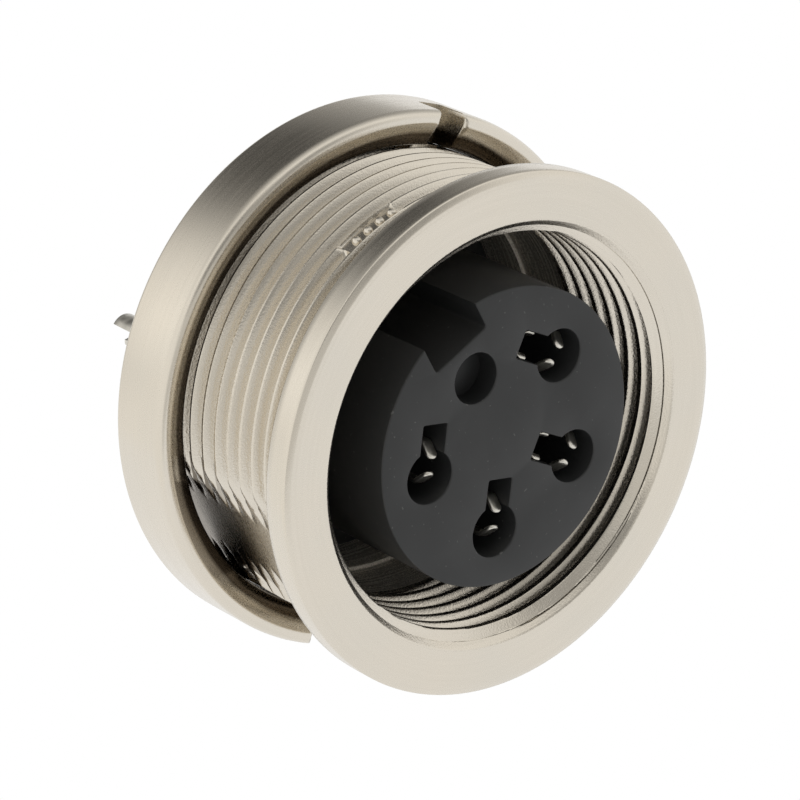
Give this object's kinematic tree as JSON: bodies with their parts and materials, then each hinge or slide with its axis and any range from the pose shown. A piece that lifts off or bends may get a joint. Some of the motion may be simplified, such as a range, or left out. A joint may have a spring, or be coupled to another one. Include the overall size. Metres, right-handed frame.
{
  "type": "circular panel socket connector",
  "caption": "Round threaded panel socket: nickelled shell with front flange and barrel thread, keyed black insert with spring sockets, slotted ring nut, solder cups.",
  "frame": {"origin": "centre of the flange's rear face, where the flange meets the panel", "axes": "mating axis along Y, mouth facing -Y, solder cups towards +Y, key groove at the top along +Z, +X to the right seen from the front"},
  "size_m": [0.021, 0.0191, 0.021],
  "materials": {
    "nickel_shell": "satin nickel plate on turned brass",
    "nickel_nut": "satin nickel plate, turned all round",
    "black_plastic": "moulded black thermoplastic, slightly grained",
    "tinned_contact": "dull plated spring bronze"
  },
  "bodies": {
    "connector": {"shell": "nickel_shell", "insert": "black_plastic", "retaining_ring": "nickel_shell", "contact_1": "tinned_contact", "contact_2": "tinned_contact", "contact_3": "tinned_contact", "contact_4": "tinned_contact"},
    "nut": {"ring_nut": "nickel_nut"}
  },
  "joints": [
    {"name": "nut_travel", "type": "slide", "parent": "connector", "child": "nut", "axis": [0, -1, 0], "range_m": [-0.003, 0.0045]}
  ]
}
